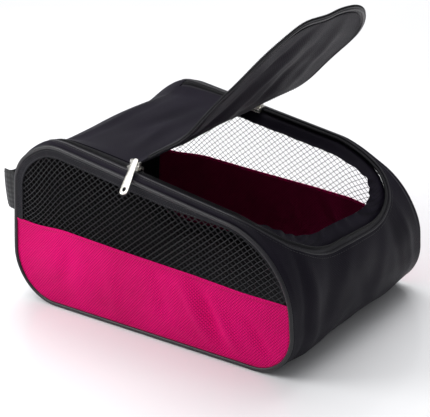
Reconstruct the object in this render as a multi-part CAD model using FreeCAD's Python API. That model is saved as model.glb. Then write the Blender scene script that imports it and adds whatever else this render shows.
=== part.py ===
"""Wedge-shaped shoe bag with net sides and a U-shaped zipped lid.

Frame: +X from heel to toe, -Y the near side, +Z up, millimetres.
The origin is the centre of the flat base, on the surface that the bag stands on.
The bag is modelled with its lid zipped shut, then the lid is turned to its open rest pose.
"""
import FreeCAD, Part
import math
import os

V = FreeCAD.Vector
UP_TURN = V(0, -1, 0)    # turning about this lifts what lies ahead of the pivot

# ---- driving dimensions: the bag's outline from the side -------------------------------
HEEL_X = -173.3          # where the heel's slanted line meets the base
TOE_X = 165.0            # upright toe face
HEEL_LEAN = 0.1265       # the heel leans forward, mm per mm of height
TOP_Z_AT_0 = 156.0       # height of the piped top edge above the origin
TOP_FALL = 0.1694        # the top falls towards the toe, mm per mm
CROWN = 3.0              # the zipped deck stands this far above the piped edges
R_HEEL_BASE, R_HEEL_TOP, R_TOE_TOP, R_TOE_BASE = 48.0, 48.0, 80.0, 46.0

# ---- across the bag ---------------------------------------------------------------------
GUSSET_HALF = 104.8      # half width of the black gusset that runs round the bag
DECK_HALF = 99.5         # half width of the flat part of the top
SIDE_OUTER = 107.2       # outer face of the side panels
SIDE_INSET = 4.6         # side panels stop this far inside the outline
PIPING_R = 2.0
PIPING_Y = 107.0
SEAM_HEEL_Z, SEAM_TOE_Z = 89.4, 71.7      # seam between lower panel and net, at heel and toe
SEAM_GAP = 0.3
STRIP_WIDTH = 8.5        # grey strip sewn along the net's edge
BINDING_FROM, BINDING_WIDTH = 103.4, 6.0  # tape over the raw seam, inside the bag

# ---- cloth and zip ----------------------------------------------------------------------
CLOTH = 1.0              # gusset, lid and side cloth with its backing
NET = 0.8
TAPE_TOP, TAPE_BOTTOM = 1.3, 1.9          # zip tape, depths below the deck's face
COIL_TOP, COIL_BOTTOM = -0.3, 1.2         # zip coil, depths below the deck's face
LINING_TOP, LINING_BOTTOM = 2.1, 2.7
FACING_TOP, FACING_BOTTOM = 2.3, 3.1
ZIP_HALF = 93.5          # zip's centre line, out from the bag's middle
ZIP_TOE = 64.0           # end of the opening, along the tilted plan of the opening
ZIP_CORNER_R = 68.0
PLAN_TILT = 38.0         # the opening's outline is drawn square to this tilt
HEEL_SEAM_X = -105.0     # where the flap is sewn to the heel panel
TOE_SEAM_X = 100.0
BASE_SEAM_X = 119.0

# ---- lid --------------------------------------------------------------------------------
FOLD_X = -12.0           # the lid folds here, between the two sliders
FOLD_R = 3.0             # turned cloth along the fold
MIDDLE_FROM = 60.0       # the lid's middle starts this far from the fold
TOE_BEND_ANGLE = 10.0    # the lid's toe end starts this far round the toe's curve
# rest pose: the flap is up from shut, and each of its three parts turns further than the last
LID_OPEN, MIDDLE_LIFT, TOE_STRAIGHTEN = 34.0, 20.0, 42.0
BEND_GAP = 1.4
LID_ZIP_FROM = 20.0      # the lid's zip clears the sliders from here on

# ---- sliders and pull tabs --------------------------------------------------------------
SLIDER_LENGTH, SLIDER_HALF_WIDTH = 13.0, 5.0
PLATE, LIP = 1.0, 1.4     # thickness of the slider's plates and of its bent lips
BAR_HEIGHT = 6.8         # bridge bar above the deck
BAR_R = 0.7
TAB_LENGTH, TAB_WIDTH, TAB_THICK = 31.0, 7.0, 1.2
TAB_DROOP = 30.0         # the tabs hang over the shoulder, degrees below level
RUN_FIT = 0.1

# ---- heel handle and base board ---------------------------------------------------------
WEB_WIDTH, WEB_THICK = 40.0, 2.0
WEB_LOW_Z = 91.0
WEB_X = -178.0           # middle of the webbing where it crosses behind the heel
WEB_END_Y = 103.0
WEB_CORNER_R = 18.0
BOARD_HALF_X, BOARD_HALF_Y, BOARD_THICK = 110.0, 97.0, 2.0

ABOVE_BASE = 60.0        # the opening's outline only cuts what is above this, square to its tilt
FAR = 400.0
FALL_ANGLE = math.degrees(math.atan(TOP_FALL))


def crossing(p, d, q, e):
    """Where the line through p along d meets the line through q along e (x, z pairs)."""
    t = ((q[0] - p[0]) * e[1] - (q[1] - p[1]) * e[0]) / (d[0] * e[1] - d[1] * e[0])
    return (p[0] + t * d[0], p[1] + t * d[1])


def outline_corners(rise, inset):
    """Corners of the side outline, moved inwards; rise lifts the top line."""
    lines = [
        ((0.0, 0.0), (1.0, 0.0)),
        ((TOE_X, 0.0), (0.0, 1.0)),
        ((0.0, TOP_Z_AT_0 + rise), (-1.0, TOP_FALL)),
        ((HEEL_X, 0.0), (-HEEL_LEAN, -1.0)),
    ]
    moved = []
    for (px, pz), (dx, dz) in lines:
        size = math.hypot(dx, dz)
        moved.append(((px - dz / size * inset, pz + dx / size * inset), (dx, dz)))
    base, toe, top, heel = moved
    return [crossing(*a, *b) for a, b in ((heel, base), (base, toe), (toe, top), (top, heel))]


def outline(rise, inset, y):
    """Closed outline in the plane y, with rounded corners."""
    corners = outline_corners(rise, inset)
    radii = [r - inset for r in (R_HEEL_BASE, R_TOE_BASE, R_TOE_TOP, R_HEEL_TOP)]
    starts, arcs, ends = [], [], []
    for i, (corner, radius) in enumerate(zip(corners, radii)):
        here = V(corner[0], y, corner[1])
        back = V(corners[i - 1][0], y, corners[i - 1][1]) - here
        ahead = V(corners[(i + 1) % 4][0], y, corners[(i + 1) % 4][1]) - here
        back.normalize()
        ahead.normalize()
        half = back.getAngle(ahead) / 2
        middle = back + ahead
        middle.normalize()
        reach = radius / math.tan(half)
        start, end = here + back * reach, here + ahead * reach
        nearest = here + middle * (radius / math.sin(half) - radius)
        starts.append(start)
        ends.append(end)
        arcs.append(Part.Arc(start, nearest, end).toShape())
    edges = []
    for i in range(4):
        edges.append(arcs[i])
        edges.append(Part.LineSegment(ends[i], starts[(i + 1) % 4]).toShape())
    return Part.Wire(edges)


def gusset_solid(inset):
    """Solid inside the gusset: low at the piped edges, crowned between them."""
    stations = ((-GUSSET_HALF, 0.0), (-DECK_HALF, CROWN), (DECK_HALF, CROWN), (GUSSET_HALF, 0.0))
    return Part.makeLoft([outline(rise, inset, y) for y, rise in stations], True, True)


def gusset_layer(outer, inner):
    """Skin between two depths below the gusset's outer face."""
    return gusset_solid(outer).cut(gusset_solid(inner))


def side_plate(inset, y_from, y_to):
    return Part.Face(outline(0.0, inset, y_from)).extrude(V(0, y_to - y_from, 0))


def block(x0, x1, y0, y1, z0, z1):
    y0, y1 = min(y0, y1), max(y0, y1)
    return Part.makeBox(x1 - x0, y1 - y0, z1 - z0, V(x0, y0, z0))


def opening_prism(grow):
    """Prism through the U-shaped opening, grown outwards from the zip's centre line."""
    half, toe, radius = ZIP_HALF + grow, ZIP_TOE + grow, ZIP_CORNER_R + grow
    flat, bend = half - radius, toe - radius
    diagonal = radius * math.sqrt(0.5)
    path = [
        Part.LineSegment(V(-FAR, -half, 0), V(bend, -half, 0)),
        Part.Arc(V(bend, -half, 0), V(bend + diagonal, -flat - diagonal, 0), V(toe, -flat, 0)),
        Part.LineSegment(V(toe, -flat, 0), V(toe, flat, 0)),
        Part.Arc(V(toe, flat, 0), V(bend + diagonal, flat + diagonal, 0), V(bend, half, 0)),
        Part.LineSegment(V(bend, half, 0), V(-FAR, half, 0)),
        Part.LineSegment(V(-FAR, half, 0), V(-FAR, -half, 0)),
    ]
    prism = Part.Face(Part.Wire([piece.toShape() for piece in path])).extrude(V(0, 0, FAR))
    prism.translate(V(0, 0, ABOVE_BASE))
    prism.rotate(V(0, 0, 0), V(0, 1, 0), PLAN_TILT)
    return prism


def opening_ring(inner, outer):
    return opening_prism(outer).cut(opening_prism(inner))


def deck_z(x):
    return TOP_Z_AT_0 + CROWN - TOP_FALL * x


def beyond(point, angle, gap):
    """Everything more than gap past point, square to a line that falls by angle degrees."""
    half_space = block(gap, FAR, -FAR, FAR, -FAR, FAR)
    half_space.rotate(V(0, 0, 0), V(0, 1, 0), angle)
    half_space.translate(point)
    return half_space


def between_bindings(x_from):
    """Upper part of the bag ahead of x_from, between the two inner seam bindings."""
    half = BINDING_FROM - SEAM_GAP
    return block(x_from, FAR, -half, half, ABOVE_BASE, FAR)


def merged(shape):
    """One clean solid, or a compound of them where the piece is really several."""
    solids = shape.Solids
    return solids[0] if len(solids) == 1 else Part.makeCompound(solids)


# ---- places worked out from the dimensions ----------------------------------------------
FOLD = V(FOLD_X, 0, deck_z(FOLD_X) - CLOTH / 2)
TOP_CORNER_X, TOP_CORNER_Z = outline_corners(CROWN, 0.0)[2]
TOE_CURVE = V(TOE_X - R_TOE_TOP, 0,
              TOP_CORNER_Z - R_TOE_TOP * math.tan(math.radians(90 - FALL_ANGLE) / 2))
FALL = math.radians(FALL_ANGLE)
MIDDLE_BEND = FOLD + V(math.cos(FALL), 0, -math.sin(FALL)) * MIDDLE_FROM
BEND_FALL = FALL_ANGLE + TOE_BEND_ANGLE
TOE_BEND = TOE_CURVE + V(math.sin(math.radians(BEND_FALL)), 0,
                     math.cos(math.radians(BEND_FALL))) * (R_TOE_TOP - CLOTH / 2)


def seam_z(x):
    share = (x + TOE_X) / (2 * TOE_X)
    return SEAM_HEEL_Z + (SEAM_TOE_Z - SEAM_HEEL_Z) * share


def above_seam(gap):
    """Region above the seam between the lower side panel and the net."""
    points = [V(-FAR, -FAR, seam_z(-FAR) + gap), V(FAR, -FAR, seam_z(FAR) + gap),
              V(FAR, -FAR, FAR), V(-FAR, -FAR, FAR)]
    return Part.Face(Part.makePolygon(points + points[:1])).extrude(V(0, 2 * FAR, 0))


def make_sides():
    """Lower panels, nets, edge strips, piping and inner seam bindings, near side and far side."""
    upper = above_seam(0.0)
    parts = {}
    for side, sign in (("near", -1), ("far", 1)):
        outer, inner = sign * SIDE_OUTER, sign * (SIDE_OUTER - CLOTH)
        panel = side_plate(SIDE_INSET, inner, outer)
        parts[side + "_lower_panel"] = panel.cut(upper)
        net = side_plate(SIDE_INSET, sign * (SIDE_OUTER - NET), outer)
        parts[side + "_net_panel"] = net.common(above_seam(SEAM_GAP))
        strip_from, strip_to = sign * (SIDE_OUTER + 0.1), sign * (SIDE_OUTER + 0.8)
        window = side_plate(SIDE_INSET + STRIP_WIDTH, strip_from - sign, strip_to + sign)
        strip = side_plate(SIDE_INSET, strip_from, strip_to).cut(window)
        strip = strip.common(above_seam(SEAM_GAP)).common(block(-FAR, TOE_SEAM_X, -FAR, FAR, -FAR, FAR))
        parts[side + "_net_edge_strip"] = strip
        path = outline(0.0, PIPING_R + 0.2, sign * PIPING_Y)
        start = path.Edges[0].Vertexes[0].Point
        tangent = path.Edges[0].tangentAt(path.Edges[0].FirstParameter)
        section = Part.Wire(Part.makeCircle(PIPING_R, start, tangent))
        parts[side + "_piping"] = path.makePipeShell([section], True, False)
        bind_from, bind_to = sign * BINDING_FROM, sign * (GUSSET_HALF - 0.2)
        binding = side_plate(CLOTH + 0.1, bind_from, bind_to)
        hollow = side_plate(CLOTH + BINDING_WIDTH, bind_from - sign, bind_to + sign)
        parts[side + "_seam_binding"] = binding.cut(hollow)
    return parts


def make_gusset():
    """Base, heel and toe panels, top bands, and the zipped part of the flap behind the fold."""
    skin = gusset_layer(0.0, CLOTH)
    heel_region = block(-FAR, -BASE_SEAM_X, -FAR, FAR, -FAR, FAR)
    heel_region = heel_region.fuse(block(-FAR, HEEL_SEAM_X, -FAR, FAR, ABOVE_BASE, FAR))
    toe_region = block(BASE_SEAM_X, FAR, -FAR, FAR, -FAR, FAR)
    toe_region = toe_region.fuse(block(TOE_SEAM_X, FAR, -FAR, FAR, ABOVE_BASE, FAR))
    top = block(HEEL_SEAM_X, TOE_SEAM_X, -FAR, FAR, ABOVE_BASE, FAR)
    around_zip = opening_prism(5.5)
    bands = skin.common(top).cut(around_zip)
    flap = skin.common(opening_prism(-6.0)).common(block(HEEL_SEAM_X, FAR, -FAR, FAR, ABOVE_BASE, FAR))
    ahead_of_fold = beyond(FOLD, FALL_ANGLE, -FOLD_R - 0.4)
    roll_half = ZIP_HALF - SLIDER_HALF_WIDTH - 1.5
    return {
        "base_panel": skin.common(block(-BASE_SEAM_X, BASE_SEAM_X, -FAR, FAR, -1, 20)),
        "heel_panel": skin.common(heel_region),
        "toe_panel": skin.common(toe_region).cut(around_zip),
        "near_top_band": bands.common(block(-FAR, FAR, -FAR, 0, -FAR, FAR)),
        "far_top_band": bands.common(block(-FAR, FAR, 0, FAR, -FAR, FAR)),
        "rear_top_panel": flap.cut(ahead_of_fold),
        "toe_facing": gusset_layer(FACING_TOP, FACING_BOTTOM).common(opening_ring(2.0, 16.0))
        .common(between_bindings(TOE_SEAM_X)),
        "fold_roll": Part.makeCylinder(FOLD_R, 2 * roll_half, FOLD - V(0, roll_half, 0), V(0, 1, 0)),
        "base_board": make_board(),
    }


def make_board():
    board = block(-BOARD_HALF_X, BOARD_HALF_X, -BOARD_HALF_Y, BOARD_HALF_Y,
                  CLOTH + 0.3, CLOTH + 0.3 + BOARD_THICK)
    upright = [e for e in board.Edges if abs(e.Vertexes[0].Z - e.Vertexes[1].Z) > 1]
    return board.makeFillet(20.0, upright)


def make_zip():
    """Tape and coil round the opening, and their partners on the zipped part of the flap."""
    tape = gusset_layer(TAPE_TOP, TAPE_BOTTOM).common(between_bindings(HEEL_SEAM_X + 0.3))
    coil = gusset_layer(COIL_TOP, COIL_BOTTOM).common(between_bindings(HEEL_SEAM_X + 0.3))
    flap_tape = tape.common(opening_ring(-15.0, -1.0))
    flap_coil = coil.common(opening_ring(-2.8, -0.8))
    behind_fold = beyond(FOLD, FALL_ANGLE, -1.0)
    parts = {
        "opening_zip_tape": tape.common(opening_ring(1.0, 13.0)),
        "opening_zip_coil": coil.common(opening_ring(0.8, 2.8)),
    }
    for side, low, high in (("near", -FAR, 0), ("far", 0, FAR)):
        half = block(-FAR, FAR, low, high, -FAR, FAR)
        rear_tape = flap_tape.cut(beyond(FOLD, FALL_ANGLE, -FOLD_R - 0.4))
        parts["rear_zip_tape_" + side] = rear_tape.common(half)
        parts["rear_zip_coil_" + side] = flap_coil.cut(behind_fold).common(half)
    return parts, flap_tape, flap_coil


def make_lid(flap_tape, flap_coil):
    """Lid ahead of the fold in three parts, each turned from shut to the open rest pose."""
    panel = gusset_layer(0.0, CLOTH).common(opening_prism(-6.0))
    lining = gusset_layer(LINING_TOP, LINING_BOTTOM).common(opening_prism(-7.0))
    clear_of_slider = beyond(FOLD, FALL_ANGLE, LID_ZIP_FROM)
    layers = {
        "panel": panel.common(beyond(FOLD, FALL_ANGLE, FOLD_R + 0.4)),
        "lining": lining.common(beyond(FOLD, FALL_ANGLE, FOLD_R + 3.0)),
        "zip_tape": flap_tape.common(clear_of_slider),
        "zip_coil": flap_coil.common(clear_of_slider),
    }
    cuts = {"middle": (MIDDLE_BEND, FALL_ANGLE), "toe": (TOE_BEND, BEND_FALL)}
    before = {key: beyond(*cut, -BEND_GAP) for key, cut in cuts.items()}
    past = {key: beyond(*cut, BEND_GAP) for key, cut in cuts.items()}
    parts = {}
    for name, layer in layers.items():
        pieces = {
            "rear": layer.cut(before["middle"]),
            "middle": layer.common(past["middle"]).cut(before["toe"]),
            "toe": layer.common(past["toe"]),
        }
        pieces["toe"].rotate(TOE_BEND, UP_TURN, TOE_STRAIGHTEN)
        for key in ("middle", "toe"):
            pieces[key].rotate(MIDDLE_BEND, UP_TURN, MIDDLE_LIFT)
        for key, shape in pieces.items():
            shape.rotate(FOLD, UP_TURN, LID_OPEN)
            parts["lid_%s_%s" % (key, name)] = shape
    return parts


def make_slider(side, sign):
    """Slider shell, its bridge and its pull tab, built level at the origin and then placed."""
    half = SLIDER_LENGTH / 2
    roof_z, floor_z = 0.9, -3.3
    width = SLIDER_HALF_WIDTH
    roof = block(-half, half, -width, width, roof_z, roof_z + PLATE)
    floor = block(-half, half, -width, width, floor_z, floor_z + PLATE)
    lips = [block(-half, half, edge * width, edge * (width - LIP), -0.9, roof_z + 0.1)
            for edge in (-1, 1)]
    post = block(half - 3.5, half - 0.5, -0.5, 0.5, floor_z + 0.5, roof_z + 0.5)
    shell = roof.multiFuse([floor, post] + lips)
    upright = [e for e in shell.Edges
               if abs(e.Vertexes[0].Z - e.Vertexes[-1].Z) > PLATE / 2
               and abs(abs(e.Vertexes[0].X) - half) < 0.01
               and abs(abs(e.Vertexes[0].Y) - width) < 0.01]
    shell = shell.makeFillet(1.2, upright)

    bar = Part.makeCylinder(BAR_R, 7.6, V(-3.8, 0, BAR_HEIGHT), V(1, 0, 0))
    feet = [block(x0, x0 + 1.6, -1.3, 1.3, roof_z + PLATE, BAR_HEIGHT + 1.1) for x0 in (-5.4, 3.8)]
    bridge = bar.multiFuse(feet)

    knuckle_r = BAR_R + RUN_FIT + 1.0
    knuckle = Part.makeCylinder(knuckle_r, TAB_WIDTH - 0.4, V(-TAB_WIDTH / 2 + 0.2, 0, BAR_HEIGHT),
                                V(1, 0, 0))
    blade = block(-TAB_WIDTH / 2 + 0.2, TAB_WIDTH / 2 - 0.2, 0, TAB_LENGTH,
                  BAR_HEIGHT - TAB_THICK / 2, BAR_HEIGHT + TAB_THICK / 2)
    ends = [e for e in blade.Edges
            if abs(e.Vertexes[0].Z - e.Vertexes[1].Z) > TAB_THICK / 2 and e.Vertexes[0].Y > 1]
    blade = blade.makeFillet(2.6, ends)
    eye_z = BAR_HEIGHT - TAB_THICK
    eye = block(-1.3, 1.3, TAB_LENGTH - 7.5, TAB_LENGTH - 3.0, eye_z, eye_z + 2 * TAB_THICK)
    bore = Part.makeCylinder(BAR_R + RUN_FIT, TAB_WIDTH, V(-TAB_WIDTH / 2, 0, BAR_HEIGHT), V(1, 0, 0))
    tab = knuckle.fuse(blade).cut(bore).cut(eye)
    tab.rotate(V(0, 0, BAR_HEIGHT), V(1, 0, 0), -TAB_DROOP)

    place = V(FOLD_X, sign * ZIP_HALF, deck_z(FOLD_X))
    parts = {side + "_slider": shell, side + "_slider_bridge": bridge, side + "_pull_tab": tab}
    for name, shape in parts.items():
        if sign < 0:
            shape = shape.mirror(V(0, 0, 0), V(0, 1, 0))
        shape.rotate(V(0, 0, 0), V(0, 1, 0), FALL_ANGLE)
        shape.translate(place)
        parts[name] = shape
    return parts


def make_handle():
    """Webbing grab handle: sewn in at both side seams, standing out behind the heel."""
    corner = WEB_CORNER_R * (1 - math.sqrt(0.5))
    half = WEB_THICK / 2
    rings = []
    for grow in (-half, half):
        x, y, r = WEB_X - grow, WEB_END_Y + grow, WEB_CORNER_R + grow
        mid_x, mid_y = WEB_X - grow + (r - r * math.sqrt(0.5)), y - (r - r * math.sqrt(0.5))
        pieces = [
            Part.LineSegment(V(-100, -y, 0), V(x + r, -y, 0)),
            Part.Arc(V(x + r, -y, 0), V(mid_x, -mid_y, 0), V(x, -y + r, 0)),
            Part.LineSegment(V(x, -y + r, 0), V(x, y - r, 0)),
            Part.Arc(V(x, y - r, 0), V(mid_x, mid_y, 0), V(x + r, y, 0)),
            Part.LineSegment(V(x + r, y, 0), V(-100, y, 0)),
            Part.LineSegment(V(-100, y, 0), V(-100, -y, 0)),
        ]
        face = Part.Face(Part.Wire([piece.toShape() for piece in pieces]))
        rings.append(face.extrude(V(0, 0, WEB_WIDTH)))
    strap = rings[1].cut(rings[0])
    strap.translate(V(0, 0, WEB_LOW_Z))
    return {"heel_handle": strap.cut(gusset_solid(-0.1))}


def main():
    os.makedirs("parts", exist_ok=True)
    zip_parts, flap_tape, flap_coil = make_zip()
    parts = {}
    for group in (make_gusset(), make_sides(), zip_parts, make_lid(flap_tape, flap_coil),
                  make_slider("near", -1), make_slider("far", 1), make_handle()):
        parts.update(group)
    for name, shape in parts.items():
        solid = merged(shape)
        box = solid.optimalBoundingBox(False)
        print("%-22s solids %d valid %s vol %9.1f  x %.1f..%.1f y %.1f..%.1f z %.1f..%.1f" % (
            name, len(solid.Solids), solid.isValid(), solid.Volume,
            box.XMin, box.XMax, box.YMin, box.YMax, box.ZMin, box.ZMax))
        solid.exportStep("parts/%s.step" % name)


main()
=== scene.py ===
import math

import bmesh
import bpy
import numpy as np
from mathutils import Matrix, Vector


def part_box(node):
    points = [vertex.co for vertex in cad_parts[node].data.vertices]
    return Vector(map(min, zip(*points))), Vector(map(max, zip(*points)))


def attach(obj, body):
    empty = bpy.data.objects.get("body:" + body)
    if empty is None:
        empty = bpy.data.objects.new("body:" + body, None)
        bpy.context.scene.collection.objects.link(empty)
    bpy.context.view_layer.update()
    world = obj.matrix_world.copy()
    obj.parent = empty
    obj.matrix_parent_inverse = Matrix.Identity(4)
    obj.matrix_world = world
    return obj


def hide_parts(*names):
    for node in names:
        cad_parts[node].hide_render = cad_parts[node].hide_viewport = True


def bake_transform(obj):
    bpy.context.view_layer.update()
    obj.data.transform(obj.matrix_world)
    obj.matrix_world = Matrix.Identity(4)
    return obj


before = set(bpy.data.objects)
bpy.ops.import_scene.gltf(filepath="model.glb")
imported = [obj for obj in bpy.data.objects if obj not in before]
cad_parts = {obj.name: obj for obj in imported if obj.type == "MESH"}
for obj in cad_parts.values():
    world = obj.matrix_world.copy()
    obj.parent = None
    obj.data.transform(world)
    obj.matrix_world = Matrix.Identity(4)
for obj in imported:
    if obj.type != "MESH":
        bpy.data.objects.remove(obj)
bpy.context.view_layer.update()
MM = 0.001

# ---- dimensions shared with the CAD frame, in millimetres
TOE_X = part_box("toe_panel")[1][0] / MM
HEEL_X, HEEL_LEAN = -173.3, 0.1265
TOP_Z, TOP_FALL, CROWN = 156.0, 0.1694, 3.0
RADII = (46.0, 80.0, 48.0, 48.0)          # base toe, top toe, top heel, base heel
GUSSET_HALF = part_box("toe_panel")[1][1] / MM
DECK_HALF = 99.5
TUCK = 1.5                                # cloth hidden under the piping
SIDE_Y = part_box("far_lower_panel")[1][1] / MM
ZIP_HALF = (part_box("far_slider")[0][1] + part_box("far_slider")[1][1]) / 2 / MM
ZIP_TOE, ZIP_R, PLAN_TILT = 64.0, 68.0, math.radians(38)
HEEL_SEAM_X, TOE_SEAM_X, BASE_SEAM_X = -105.0, 100.0, 119.0
FOLD_X = -12.0
SEAM_HEEL_Z, SEAM_TOE_Z = 89.4, 71.7
TAPE_OUT, TAPE_IN = 5.5, 5.6              # zip tape left showing beside the opening, and on the lid
CLOTH = 1.0                               # thickness of the outer cloth
STITCH_LIFT = 0.05                        # stitches stand this far out of the cloth


# ---- the bag's outline and skin
def outline_table(rise, inset=0.0, n=60):
    """Closed outline (x, z) from the base's heel end: base, toe, top, heel, each with its corner."""
    lines = (((0, 0), (1, 0)), ((TOE_X, 0), (0, 1)),
             ((0, TOP_Z + rise), (-1, TOP_FALL)), ((HEEL_X, 0), (-HEEL_LEAN, -1)))
    moved = []
    for p, d in lines:
        d = np.array(d, float) / math.hypot(*d)
        moved.append((np.array(p, float) + inset * np.array((-d[1], d[0])), d))
    corners = []
    for i in range(4):
        (p, d), (q, e) = moved[i], moved[(i + 1) % 4]
        t = ((q[0] - p[0]) * e[1] - (q[1] - p[1]) * e[0]) / (d[0] * e[1] - d[1] * e[0])
        corners.append(p + t * d)
    arcs = []
    for i, corner in enumerate(corners):
        r = RADII[i] - inset
        back, ahead = -moved[i][1], moved[(i + 1) % 4][1]
        half = math.acos(float(back @ ahead)) / 2
        middle = (back + ahead) / np.linalg.norm(back + ahead)
        centre = corner + middle * r / math.sin(half)
        a = corner + back * r / math.tan(half) - centre
        start = math.atan2(a[1], a[0])
        turn = np.linspace(0, math.pi - 2 * half, n + 1) + start
        arcs.append(centre + r * np.stack([np.cos(turn), np.sin(turn)], 1))
    points = []
    for i in range(4):
        t = np.linspace(0, 1, n + 1)[:, None]
        points.append((arcs[i - 1][-1] * (1 - t) + arcs[i][0] * t)[:-1])
        points.append(arcs[i][:-1])
    points = np.concatenate(points)
    return np.concatenate([points, points[:1]])


EDGE, DECK = outline_table(0.0), outline_table(CROWN)
STEP = np.linalg.norm(np.diff(DECK, axis=0), axis=1)
ALONG = np.concatenate([[0], np.cumsum(STEP)])
ROUND = ALONG[-1]
SLOPE = np.gradient(DECK, ALONG, axis=0)
SLOPE[0] = SLOPE[-1] = (1, 0)
OUTWARD = np.stack([SLOPE[:, 1], -SLOPE[:, 0]], 1)
OUTWARD /= np.linalg.norm(OUTWARD, axis=1)[:, None]


def lookup(table, s):
    return np.stack([np.interp(s % ROUND, ALONG, table[:, k]) for k in (0, 1)], -1)


def s_top(x):
    """Place along the outline where the top is above x."""
    part = slice(3 * 60, 6 * 60)
    return float(np.interp(-x, -DECK[part, 0], ALONG[part]))


def s_base(x):
    return float(np.interp(x, DECK[:61, 0], ALONG[:61]))


def smooth(t):
    t = np.clip(t, 0, 1)
    return t * t * (3 - 2 * t)


def crease(a, b, place, angle, length, width, height):
    """Soft ridge (or dent) of cloth at place, lying along angle degrees."""
    c, s = math.cos(math.radians(angle)), math.sin(math.radians(angle))
    t = (a - place[0]) * c + (b - place[1]) * s
    n = (b - place[1]) * c - (a - place[0]) * s
    return height * np.exp(-(n / width) ** 2 - (t / length) ** 2)


def ripple(a, b, size, seed, stretch=1.0):
    """Gentle seeded unevenness, between about -1 and 1."""
    rng = np.random.default_rng(seed)
    total = np.zeros(np.broadcast(a, b).shape)
    for _ in range(7):
        wave = size * rng.uniform(0.6, 1.8)
        turn, phase = rng.uniform(0, math.pi), rng.uniform(0, 2 * math.pi)
        total += np.sin(2 * math.pi * (a * math.cos(turn) / stretch + b * math.sin(turn)) / wave + phase)
    return total / 4.0


S_HEEL_SEAM, S_TOE_SEAM, S_FOLD = s_top(HEEL_SEAM_X), s_top(TOE_SEAM_X), s_top(FOLD_X)
S_BASE_TOE, S_BASE_HEEL = s_base(BASE_SEAM_X), s_base(-BASE_SEAM_X)
S_TOE_FACE = float(ALONG[2 * 60 + 30])
S_HEEL_FACE = float(ALONG[6 * 60 + 30])


def relief(s, y):
    """How far the cloth stands out of the plain outline: sag, fullness and folds."""
    s = s % ROUND
    inner = smooth((GUSSET_HALF - np.abs(y)) / 34.0)
    out = np.zeros(np.broadcast(s, y).shape)
    heel_top = np.exp(-((s - S_HEEL_SEAM - 8) / 42.0) ** 2)
    out -= 8.0 * heel_top * inner
    out += 1.2 * inner * heel_top * np.sin(y / 21.0 + 0.6)
    heel_face = np.exp(-((s - S_HEEL_FACE) / 52.0) ** 2)
    out += (3.0 * heel_face + 1.6 * heel_face * ripple(s, y, 60, 4)) * inner
    out += crease(s, y, (S_HEEL_FACE - 30, -40), 78, 60, 9, 2.2) * inner
    out += crease(s, y, (S_HEEL_FACE + 10, 25), 98, 55, 10, -2.4) * inner
    toe_face = np.exp(-((s - S_TOE_FACE - 12) / 58.0) ** 2)
    out += 2.6 * toe_face * inner
    out += 1.3 * toe_face * inner * ripple(s, y, 64, 9, 1.3)
    for place, angle, length, width, height in (
            ((S_TOE_FACE + 16, -86), 6, 44, 5.0, -2.8), ((S_TOE_FACE - 2, -74), 4, 40, 6.5, 1.5),
            ((S_TOE_FACE + 4, -54), 20, 34, 9.0, -1.5), ((S_TOE_FACE + 24, -20), 38, 30, 9.0, 1.2),
            ((S_TOE_FACE - 18, 4), -24, 34, 10.0, -1.3), ((S_TOE_FACE + 8, 36), 24, 40, 10.0, 1.4),
            ((S_TOE_FACE + 14, 62), -10, 30, 8.0, -1.5), ((S_TOE_FACE + 10, 84), -8, 34, 6.0, 1.4),
            ((S_TOE_FACE - 36, -60), 62, 34, 6.0, 1.4), ((S_TOE_FACE - 38, 44), 112, 38, 6.0, 1.4)):
        out += crease(s, y, place, angle, length, width, height) * smooth((GUSSET_HALF - np.abs(y)) / 12.0)
    on_rear = smooth((s - S_FOLD - 6) / 26.0) * smooth((S_HEEL_SEAM - s) / 18.0 + 0.4)
    middle = smooth((ZIP_HALF - np.abs(y)) / 40.0)
    out += on_rear * middle * (-3.0 + 1.3 * ripple(s, y, 70, 21, 1.8))
    out += crease(s, y, (S_FOLD + 34, -34), 76, 40, 8, 2.6) * middle
    out += crease(s, y, (S_FOLD + 52, 22), 100, 44, 9, -2.2) * middle
    return out


def base_flat(s):
    """Nothing stands out below the base, which rests on the floor."""
    s = s % ROUND
    return smooth((s - S_BASE_TOE) / 30.0) * smooth((ROUND + S_BASE_HEEL - s) / 30.0) * (s > S_BASE_TOE)


def settle(points):
    """Slow sag of the standing bag, shared by every sewn piece: heel shoulder, far toe shoulder, rim."""
    x, y, z = points[..., 0], points[..., 1], points[..., 2]
    high = smooth((z - 50) / 80.0)
    down = 9.0 * smooth((-88 - x) / 50.0) * high
    down = down + 8.0 * smooth((x - 78) / 44.0) * smooth((y - 30) / 70.0) * smooth((z - 40) / 60.0)
    rim = np.exp(-((x - 138) / 40.0) ** 2 - ((y + 28) / 52.0) ** 2) * smooth((z - 60) / 40.0)
    return points + np.stack([-4.0 * rim, 0 * x, 4.5 * rim - down], -1)


def skin(s, y, depth=0.0, plain=False):
    """Point of the gusset at s along the outline and y across, depth below its outer face."""
    s, y = np.broadcast_arrays(np.asarray(s, float), np.asarray(y, float))
    high = smooth((GUSSET_HALF - np.abs(y)) / (GUSSET_HALF - DECK_HALF))[..., None]
    p = lookup(EDGE, s) * (1 - high) + lookup(DECK, s) * high
    n = lookup(OUTWARD, s)
    lift = -np.asarray(depth, float) + (0.0 if plain else relief(s, y) * base_flat(s))
    p = p + n * np.broadcast_to(lift, s.shape)[..., None]
    return settle(np.stack([p[..., 0], y, p[..., 1]], -1))


def skin_normal(s):
    n = lookup(OUTWARD, np.asarray(s, float))
    return np.stack([n[..., 0], 0 * n[..., 0], n[..., 1]], -1)


# ---- the U-shaped opening: its zip line, and lines beside it
PLAN = DECK[:, 0] * math.cos(PLAN_TILT) - DECK[:, 1] * math.sin(PLAN_TILT)
UPPER = slice(2 * 60, 5 * 60 + 30)


def s_of_plan(p):
    return np.interp(-p, -PLAN[UPPER], ALONG[UPPER])


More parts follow.
